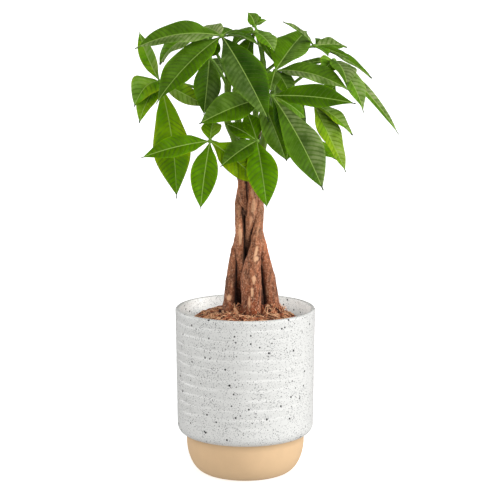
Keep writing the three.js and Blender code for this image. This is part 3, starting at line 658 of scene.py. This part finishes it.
class MONEYTREE_OT_grow_pot(bpy.types.Operator):
    """The thin plastic grow pot with its turned-out rim"""

    bl_idname = "moneytree.grow_pot"
    bl_label = "Grow pot"

    def execute(self, context):
        look = context.scene.money_fill
        gap, wall, roll, middle, sides = 0.3 * MM, look.pot_wall, look.pot_wall / 2, 1 * MM, 128
        low = context.scene.money_planter.floor + gap
        rim_low, rim_high = look.pot_rim_height - look.pot_rim_depth, look.pot_rim_height - roll
        profile = [(middle, low)]
        profile += corner(look.pot_foot_radius - roll, low + roll, roll, -90, -10, 5)
        # Under the rim the wall turns upright.
        across, rise, below = 0.1 * MM, 0.5 * MM, 1 * MM
        profile += corner(look.pot_top_radius - across, rim_low - below, (across, rise), -20, 0, 3)
        profile += corner(look.pot_rim_radius - roll, rim_low + roll, roll, -90, 0, 5)
        profile += corner(look.pot_rim_radius - roll, rim_high, roll, 0, 90, 5)
        profile += corner(look.pot_top_radius - wall + roll, rim_high, roll, 90, 180, 5)
        profile += [(look.pot_top_radius - wall, rim_low), (look.pot_foot_radius - wall, low + wall)]
        profile += [(middle, low + wall)]
        shape = Shape()
        shape.add_rings(turned(profile, sides))
        shape.piece("nursery_grow_pot", "grow_pot", [moulded_plastic()])
        return {"FINISHED"}


class MONEYTREE_OT_soil(bpy.types.Operator):
    """The finish of the potting soil, whose solid stays as it is"""

    bl_idname = "moneytree.soil"
    bl_label = "Potting soil"

    def execute(self, context):
        solid = bpy.data.objects.get("potting_soil")
        if solid is None:
            raise RuntimeError("the frame holds no potting_soil")
        finish = potting_mix()
        if solid.material_slots:
            for held in solid.material_slots:
                held.link = "OBJECT"
                held.material = finish
        else:
            solid.data.materials.append(finish)
        return {"FINISHED"}


def mat_height(look, radius):
    """The mat's surface at a distance from the centre."""
    share = min(1.0, radius / look.mulch_radius)
    return look.mulch_edge + (look.mulch_top - look.mulch_edge) * math.sqrt(1 - share * share)


def add_fibre(shape, look, pick, standing):
    """One curved fibre, lying on the mat or standing up beside a trunk."""
    turn = pick.uniform(0, 2 * math.pi)
    if standing:
        middle, radius = np.array(pick.choice(TUFTS)) * MM, pick.uniform(0, 3.5) * MM
    else:
        middle, radius = np.zeros(2), look.mulch_radius * math.sqrt(pick.random())
    start = middle + radius * np.array([math.cos(turn), math.sin(turn)])
    size = (pick.uniform(4, 9) if standing else pick.uniform(6, 20)) * MM
    heading = pick.uniform(0, 2 * math.pi)
    curl = pick.uniform(-2.2, 2.2)
    lift = (pick.uniform(1, 10) if standing else pick.uniform(0.2, 2.6)) * MM
    steps, sides, clump_size, overhang = 6, 3, 4 * MM, 2.5 * MM
    share = np.linspace(0, 1, steps)
    way = heading + curl * share
    moves = np.stack([np.cos(way), np.sin(way)], 1) * size / steps
    flat = start + np.cumsum(moves, 0) - moves.sum(0) / 2
    # None reaches the planter's wall.
    out = np.linalg.norm(flat, axis=1)
    flat *= np.minimum(1, (look.mulch_radius + overhang) / np.maximum(out, 1e-6))[:, None]
    # Fibres lie in raised clumps with hollows between, paler on the clumps and darker in the hollows, as
    # painted shade.
    clump = noise.noise(Vector((*start / clump_size, 0.7)))
    lying = pick.uniform(-0.2, 0.7) + 0.9 * clump
    base = np.array([mat_height(look, np.linalg.norm(p)) for p in flat]) + lying * MM
    arch = np.sin((2.2 if standing else math.pi) * share)
    curve = np.column_stack([flat, base + lift * arch])
    thick = pick.uniform(0.2, 0.55) * MM * np.linspace(1.15, 0.6, steps)
    # A fibre's tone is its own colour together with painted shade: darker in the hollows, paler on the
    # clumps.
    tone = min(1.0, max(0.0, 0.5 + 1.6 * clump + 0.2 * standing + pick.uniform(-0.5, 0.5)))
    shape.add_rings(rings_round(curve, thick, sides), 1, (tone, 0, 0, 0))


class MONEYTREE_OT_mulch(bpy.types.Operator):
    """The coir mulch: a domed mat under thousands of loose fibres"""

    bl_idname = "moneytree.mulch"
    bl_label = "Coir mulch"

    def execute(self, context):
        look = context.scene.money_fill
        soil_top, rounding, sides, standing_every = 131.3 * MM, 1 * MM, 150, 11
        edge = [(share * look.mulch_radius, soil_top) for share in (0.03, 0.5, 0.97)]
        edge += corner(look.mulch_radius - rounding, soil_top + 1.2 * rounding, rounding, -60, 0, 4)
        reaches = [look.mulch_radius * math.cos(turn) for turn in np.linspace(0, 1, 56) * math.pi / 2 * 0.995]
        rings = turned(edge + [(reach, mat_height(look, reach)) for reach in reaches], sides)
        # Lumps of three sizes.
        dome = rings[len(edge) :]
        lumps = 0.9 * unrest(dome, 3.2, 1.7) + 0.7 * unrest(dome, 1.6, 9.1) + 1.2 * unrest(dome, 9, 4.4)
        dome[..., 2] += lumps * MM
        shape = Shape()
        shape.add_rings(rings)
        pick = random.Random(11)
        for number in range(look.fibres):
            add_fibre(shape, look, pick, number % standing_every == 0)
        shape.piece("coir_mulch_mat", "coir_mulch", [coir_mat(), coir_fibre()])
        return {"FINISHED"}


def barked(look, curve, radii, number):
    """Rings round a trunk with its flutes, cork ridges and the swollen rings of old leaf scars."""
    sides, seed = 72, number * 5.3
    smooth = rings_round(curve, radii, sides)
    flutes = 0.05 * unrest(smooth, 9, seed, 6)
    cork = unrest(smooth, 2.2, seed + 2, 3.5) + 0.6 * unrest(smooth, 1.1, seed + 8, 2)
    # The rings of old leaf scars are 16 to 30 mm apart.
    height, knots, place, pick = curve[:, 2] / MM, np.zeros(len(curve)), 150, random.Random(number + 3)
    while place < height[-1]:
        knots += 0.35 * np.exp(-(((height - place) / 2.2) ** 2)) * MM
        place += pick.uniform(16, 30)
    thick = radii[:, None] * (1 + flutes) + look.bark_relief * 0.6 * cork + knots[:, None]
    return rings_round(curve, thick, sides)


def press_in(rings, centres, curve, radii):
    """Draws the points that lie inside another trunk in towards their own trunk's middle, out of it."""
    height, clearance = curve[:, 2], 0.2 * MM
    other = np.stack([np.interp(rings[..., 2], height, curve[:, i]) for i in (0, 1)], -1)
    wide = np.interp(rings[..., 2], height, radii) + clearance
    beyond = (rings[..., 2] > height[-1]) | (rings[..., 2] < height[0])
    out = rings - centres[:, None]
    size = np.linalg.norm(out[..., :2], axis=-1)
    way = out[..., :2] / size[..., None]
    apart = centres[:, None, :2] - other
    # Where the line from the middle to the point meets the other trunk's round section.
    half = (apart * way).sum(-1)
    rest = half**2 - (apart**2).sum(-1) + wide**2
    deep = np.sqrt(np.maximum(rest, 0))
    near, far = -half - deep, -half + deep
    buried = (apart**2).sum(-1) < wide**2
    meets = (rest > 0) & (near > 0) & (near < size) & ~buried
    share = np.where(buried & (far > size), 0.05, 1.0)
    share = np.where(meets, near / size, share)
    share = np.where(beyond, 1.0, share)
    rings[:] = centres[:, None] + out * share[..., None]


def crease_shade(rings, centres, others):
    """Painted shade: how far the other trunks close over each point, from 0 to 1, to darken the creases and
    gaps.
    """
    flat = rings.reshape(-1, 3)
    out = unit(flat - np.repeat(centres, rings.shape[1], axis=0))
    cover, every = np.zeros(len(flat)), 3
    for curve, radii in others:
        away = np.linalg.norm(flat[:, None] - curve[None, ::every], axis=2)
        near = every * away.argmin(1)
        way = curve[near] - flat
        apart = np.linalg.norm(way, axis=1)
        cover += np.clip((way * out).sum(1) / apart, 0, 1) * np.minimum(1, radii[near] / apart)
    return (0.93 * smoothed((cover - 0.15) / 0.75)).reshape(rings.shape[:2])


def scarred(name, curve, rings):
    """How bare each point is, from 0 to 1, from the table of scars."""
    bare = np.zeros(rings.shape[:2])
    rough = unrest(rings, 2.5, 6.6)
    out = rings - curve[:, None]
    turn = np.arctan2(out[..., 0], -out[..., 1])
    wide = np.linalg.norm(out, axis=-1)
    for trunk, height, degrees, tall, half, strength in SCARS:
        if trunk == name:
            up = (rings[..., 2] / MM - height) / tall
            round_it = (turn - math.radians(degrees)) * wide / MM / half
            bare = np.maximum(bare, strength * smoothed(2.5 - 2 * np.hypot(up, round_it) - 0.9 * rough))
    return bare


def greened(rings):
    """How green each point is: bark gives way to rind towards the top, over 26 mm."""
    rind_from, spread = 262, 26
    return smoothed((rings[..., 2] / MM - rind_from + 12 * unrest(rings, 5, 2.2, 2)) / spread)


class MONEYTREE_OT_trunks(bpy.types.Operator):
    """The five plaited trunks, each pressed against the ones laid before it"""

    bl_idname = "moneytree.trunks"
    bl_label = "Trunks"

    def execute(self, context):
        look = context.scene.money_plant
        finish, shares = bark(look), np.linspace(0, 1, 210)
        lines = {name: line_through(stations, shares) for name, stations in TRUNKS.items()}
        for number, name in enumerate(TRUNKS):
            curve, radii = lines[name]
            rings = barked(look, curve, radii, number)
            for other, wide in list(lines.values())[:number]:
                press_in(rings, curve, other, wide)
            # Painted shade in the creases and gaps between the trunks.
            shade = crease_shade(rings, curve, [line for other, line in lines.items() if other != name])
            values = np.stack([scarred(name, curve, rings), greened(rings), shade, 0 * shade], -1)
            shape = Shape()
            shape.add_rings(rings, 0, values)
            shape.piece(f"{name}_bark", name, [finish])
        return {"FINISHED"}


class MONEYTREE_OT_shoots(bpy.types.Operator):
    """The green shoots that carry the leaves"""

    bl_idname = "moneytree.shoots"
    bl_label = "Shoots"

    def execute(self, context):
        look = context.scene.money_plant
        finish = stem_rind("Green stem rind", look.stem_colour, 0.4)
        shares, sides = np.linspace(0, 1, 90), 32
        for name, stations in SHOOTS.items():
            curve, radii = line_through(stations, shares)
            # The shoot swells where each stalk leaves it.
            nodes = [row[2] for row in LEAVES if row[1] == name]
            swell = sum(0.18 * np.exp(-(((shares - place) / 0.035) ** 2)) for place in nodes)
            smooth = rings_round(curve, radii * (1 + swell), sides)
            uneven = 0.25 * MM * unrest(smooth, 4, 1.5, 2)
            rings = rings_round(curve, radii[:, None] * (1 + swell)[:, None] + uneven, sides)
            # It is corky for its first centimetre or so.
            rise = (rings[..., 2] - rings[0, :, 2].mean()) / MM
            brown = 0.8 * (1 - smoothed((rise - 4 + 6 * unrest(smooth, 3, 5.5)) / 12))
            shape = Shape()
            shape.add_rings(rings, 0, np.stack([brown, 0 * brown, 0 * brown, 0 * brown], -1))
            shape.piece(f"{name}_rind", name, [finish])
        return {"FINISHED"}


def make_leaf(look, number, row, finishes):
    """One leaf of the table: a stalk that bows up from inside its shoot, the leaflets and the hub."""
    name, shoot, along, hub, facing, leaflets = row
    topmost, bow, rows, sides = 0.985, 0.16, 28, 12
    pick = random.Random(100 + number)
    root = line_through(SHOOTS[shoot], [min(along, topmost)])[0][0]
    hub = np.array(hub, float) * MM
    shape = Shape()
    middle = (root + hub) / 2 + np.array([0, 0, bow * np.linalg.norm(hub - root)])
    share = np.linspace(0, 1, rows)[:, None]
    curve = root * (1 - share) ** 2 + middle * 2 * share * (1 - share) + hub * share**2
    share = share[:, 0]
    thick = look.stalk_base + (look.stalk_tip - look.stalk_base) * share
    # The stalk swells where it joins the shoot and where it meets the leaflets.
    thick = thick * (1 + 0.5 * np.exp(-((share / 0.06) ** 2)) + 0.55 * np.exp(-(((1 - share) / 0.05) ** 2)))
    shape.add_rings(rings_round(curve, thick, sides), 2)
    for leaflet in leaflets:
        add_blade(shape, look, hub, unit(np.array(facing, float)), leaflet, pick)
    add_knot(shape, hub)
    shape.piece(f"{name}_blades", name, finishes)


def add_knot(shape, hub):
    """The small round hub where the leaflets meet."""
    across, rise, sides = 2.3 * MM, 1.9 * MM, 16
    shape.add_rings(turned(corner(0, 0, (across, rise), -85, 85, 9), sides) + hub, 2)


def outline(t, skew=1.04):
    """How wide a leaflet is at t, from 0 at the hub to 1 at the tip, as a share of its full width."""
    # The body ends at 0.97, where only the drawn-out tip goes on, and starts as a wedge.
    end = 0.97
    body = np.where(t < end, np.sin(math.pi * np.minimum(1, t / end) ** skew), 0)
    wedge = np.minimum(1, t / 0.25)
    return body * (0.6 + 0.4 * wedge) + 0.08 * (1 - t) * wedge


def add_blade(shape, look, hub, facing, row, pick):
    """One leaflet: arched, folded along its midrib, quilted between its side veins and closed all round."""
    x, y, z, width, arch, roll, tone, sheen, *skew = row
    chord = np.array([x, y, z], float) * MM
    size = np.linalg.norm(chord)
    heading = chord / size
    up = unit(facing - facing.dot(heading) * heading)
    side = np.cross(heading, up)
    # The midrib is a curve of the second degree from the hub to the tip, in steps of a sixth of a vein.
    bend = chord / 2 + 2 * arch * MM * up
    veins = int(np.clip(size / look.vein_spacing, 6, 24))
    t = np.linspace(0.012, 1, 6 * veins + 8)[:, None]
    along = unit(bend * (2 - 4 * t) + 2 * chord * t)
    turn = math.radians(roll)
    across = side * math.cos(turn) + np.cross(along, side) * math.sin(turn)
    normal = np.cross(across, along)
    middle = hub + bend * 2 * t * (1 - t) + chord * t * t
    t = t[:, 0]
    half = np.maximum((1.7 - 1.3 * t) * MM, width * MM * outline(t, *skew)) / 2
    # Columns of points from margin to margin, as shares of the half width.
    half_way = np.array([0.07, 0.2, 0.36, 0.53, 0.7, 0.85, 0.96, 1])
    s = np.concatenate([-half_way[::-1], [0], half_way])
    off = half[:, None] * s[None]
    reach = np.abs(off)
    # Side veins leave the midrib at about 60 degrees and curve on towards the tip.
    phase = veins * (t[:, None] - (0.5 * reach + 0.25 * reach**2 / half.max()) / size)
    phase = phase + np.where(s > 0, 0.5, 0.0)[None] + pick.random()
    between = np.abs(np.sin(math.pi * phase))
    # The blade rises away from the midrib, bulges between its veins and is ruffled along the margin.
    strength = look.quilt * min(1.0, width / 24)
    inside = np.clip(half[:, None] / (width * MM / 2), 0, 1) * (1 - np.abs(s) ** 4)[None]
    pillow = strength * (between**0.5 - 0.68) * inside * smoothed(np.abs(s) / 0.25)[None]
    camber = 0.2 * reach + 0.1 * half[:, None] * np.sin(math.pi * np.abs(s))[None]
    sway = pick.uniform(0, 6.28)
    ruffle = 0.035 * width * MM * np.sin(14 * t + sway)[:, None] * (s * np.abs(s))[None]
    lift = camber + pillow + ruffle * smoothed(t / 0.2)[:, None]
    grid = middle[:, None] + across[:, None] * off[..., None] + normal[:, None] * lift[..., None]
    # Under the blade the midrib stands out as a rounded rib.
    thin = look.blade_thickness * (1 - np.abs(s) ** 3)[None] + 0 * off
    rib = (0.8 - 0.5 * t)[:, None] * MM * np.exp(-((reach / (0.9 * MM)) ** 2))
    under = grid - normal[:, None] * (thin + rib)[..., None]
    # The very tip is dry and dark, with no rib.
    dry = smoothed((t - 0.945) / 0.03)[:, None]
    from_rib = reach / MM / (1 - 0.45 * t)[:, None] + 3 * dry
    # The margin is a paler yellow, and the green wanders along the blade.
    wander = unrest(grid, 14, sway)
    # The tone holds the leaflet's own green together with painted light and shade.
    shade = tone + pick.uniform(-0.06, 0.06) + np.abs(s)[None] ** 16 + 0.35 * wander - 2 * dry
    # Painted sheen: full on the half that the table names, and a tenth on the other.
    painted_sheen = abs(sheen) * np.where(s * sheen > 0, 1.0, 0.1)[None] + 0 * off
    value = np.stack([from_rib, phase, shade, painted_sheen], -1)
    # A ring goes over the upper face and back under the lower one.
    rings = np.concatenate([grid, under[:, -2:0:-1]], 1)
    values = np.concatenate([value, value[:, -2:0:-1]], 1)
    slots = np.zeros(rings.shape[1], int)
    slots[len(s) - 1 :] = 1
    shape.add_rings(rings, slots, values)


class MONEYTREE_OT_leaves(bpy.types.Operator):
    """The palmate leaves: each a stalk, a hub and its quilted leaflets"""

    bl_idname = "moneytree.leaves"
    bl_label = "Leaves"

    def execute(self, context):
        look = context.scene.money_plant
        upper_greens = ("#1E3F04", look.leaf_colour, "#5A8C02", "#82A006")
        lower_greens = ("#4F6A2C", look.underside_colour, "#6E9138", "#86A53A")
        upper = leaf_face("Leaf upper face", upper_greens, "#9DBB5E", 0.4, 0.15, 0.42)
        lower = leaf_face("Leaf under face", lower_greens, "#A9BC74", 0.62, 0.3, 0.7)
        stalk = stem_rind("Leaf stalk rind", look.stalk_colour, 0.25)
        for number, row in enumerate(LEAVES):
            make_leaf(look, number, row, [upper, lower, stalk])
        return {"FINISHED"}


class MONEYTREE_OT_stage(bpy.types.Operator):
    """The white floor, the soft light and the camera"""

    bl_idname = "moneytree.stage"
    bl_label = "Stage"

    def execute(self, context):
        scene = context.scene
        look = scene.money_stage
        mesh = bpy.data.meshes.new("floor")
        # A round sheet 14 m in radius, just under the planter.
        sides, radius, height = 64, 14, -0.0002
        mesh.from_pydata(turned([(radius, height)], sides)[0], [], [list(range(sides))])
        # Matte paper, lit enough from its own white to keep its shadows pale.
        paper = new_material(
            "White backdrop paper", Roughness=0.9, IOR=1.45, Base_Color=look.floor_colour,
            Emission_Color=(1, 1, 1), Emission_Strength=0.6)[0]
        mesh.materials.append(paper)
        floor = placed("floor", mesh)
        # The floor takes no light from the room below it, so the pot's foot is as bright as its sides.
        floor.visible_diffuse = floor.visible_glossy = floor.visible_shadow = False

        world = bpy.data.worlds.new("white_room")
        world.use_nodes = True
        fill(world.node_tree.nodes["Background"], Color=(1, 1, 1), Strength=look.room)
        scene.world = world

        # Soft boxes: name, share of the key's strength, and in degrees how wide each looks, its turn to the
        # right from the front, and its height.
        for name, share, wide, turn, rise in (
            ("key", 1, 24, 80, 14), ("front", 0.38, 24, 20, 16), ("fill", 0.28, 30, -60, 14),
            ("top", 0.33, 60, 30, 65), ("bounce", 0.3, 120, 0, -40), ("edge", 0.45, 24, -115, 12),
        ):
            lamp = bpy.data.lights.new(name, "SUN")
            lamp.energy = share * look.key
            lamp.angle = math.radians(wide)
            placed(name, lamp).rotation_euler = (math.radians(90 - rise), 0, math.radians(turn))
        # The studio's white bounce that reaches into the planter's mouth, past the crown.
        across, height = 106 * MM, 152 * MM
        lamp = bpy.data.lights.new("mouth", "AREA")
        lamp.shape, lamp.size, lamp.energy = "DISK", across, look.mouth
        light = placed("mouth", lamp)
        light.location = (0, 0, height)
        light.visible_camera = False
        lit = bpy.data.collections.new("lit_by_mouth")
        lit.objects.link(bpy.data.objects["stoneware_planter"])
        light.light_linking.receiver_collection = lit

        lens = bpy.data.cameras.new("camera")
        lens.lens, lens.sensor_width = look.lens, 36
        # The pot stands 4.7 pixels left of the middle of a frame 500 pixels wide.
        lens.shift_x = 4.7 / 500
        lens.clip_end = 60
        camera = placed("camera", lens)
        camera.location = (0, -look.distance, look.camera_height)
        camera.rotation_euler = (math.pi / 2 - look.pitch, 0, 0)
        scene.camera = camera
        scene.view_settings.view_transform = "Standard"
        return {"FINISHED"}


class MONEYTREE_PT_build(bpy.types.Panel):
    """Lists the pieces and their settings"""

    bl_idname = "MONEYTREE_PT_build"
    bl_label = "Potted Money Tree"
    bl_space_type = "VIEW_3D"
    bl_region_type = "UI"
    bl_category = "Money Tree"

    def draw(self, context):
        layout = self.layout
        for name, group in SETTINGS.items():
            box = layout.box()
            for setting in group.__annotations__:
                box.prop(getattr(context.scene, name), setting)
        for operator in STEPS:
            layout.operator(operator.bl_idname)


SETTINGS = {
    "money_planter": PlanterSettings,
    "money_fill": FillSettings,
    "money_plant": PlantSettings,
    "money_stage": StageSettings,
}
STEPS = (
    MONEYTREE_OT_planter, MONEYTREE_OT_grow_pot, MONEYTREE_OT_soil, MONEYTREE_OT_mulch,
    MONEYTREE_OT_trunks, MONEYTREE_OT_shoots, MONEYTREE_OT_leaves, MONEYTREE_OT_stage,
)
CLASSES = (*SETTINGS.values(), *STEPS, MONEYTREE_PT_build)


def register():
    """Registers the settings, the operators and the panel."""
    for part in CLASSES:
        bpy.utils.register_class(part)
    for name, group in SETTINGS.items():
        setattr(bpy.types.Scene, name, PointerProperty(type=group))


def unregister():
    """Takes them away again."""
    for name in SETTINGS:
        delattr(bpy.types.Scene, name)
    for part in reversed(CLASSES):
        bpy.utils.unregister_class(part)


def main():
    register()
    for step in STEPS:
        space, name = step.bl_idname.split(".")
        getattr(getattr(bpy.ops, space), name)()


if __name__ == "__main__":
    main()
